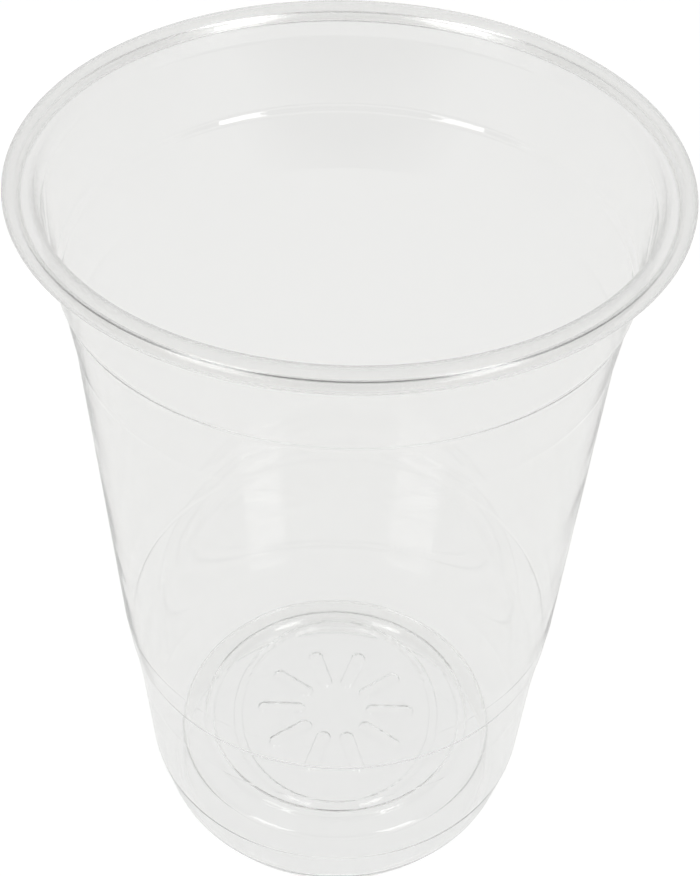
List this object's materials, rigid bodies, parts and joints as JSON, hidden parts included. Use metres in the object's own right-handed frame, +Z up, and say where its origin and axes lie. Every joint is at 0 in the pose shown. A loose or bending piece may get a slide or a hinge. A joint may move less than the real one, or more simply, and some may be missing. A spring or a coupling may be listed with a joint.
{
  "type": "plastic disposable cup",
  "caption": "Clear plastic disposable cold-drink cup: tapered thin wall, rolled rim, low shoulder, narrow foot and raised base, in one formed sheet.",
  "frame": {"origin": "centre of the foot ring, on the surface that the cup stands on", "axes": "+Z up along the cup's axis, from the foot to the rim"},
  "size_m": [0.092, 0.092, 0.124],
  "materials": {
    "clear_plastic": "clear and glossy, with a faint grey tint"
  },
  "bodies": {
    "root": {"cup": "clear_plastic"}
  },
  "joints": []
}
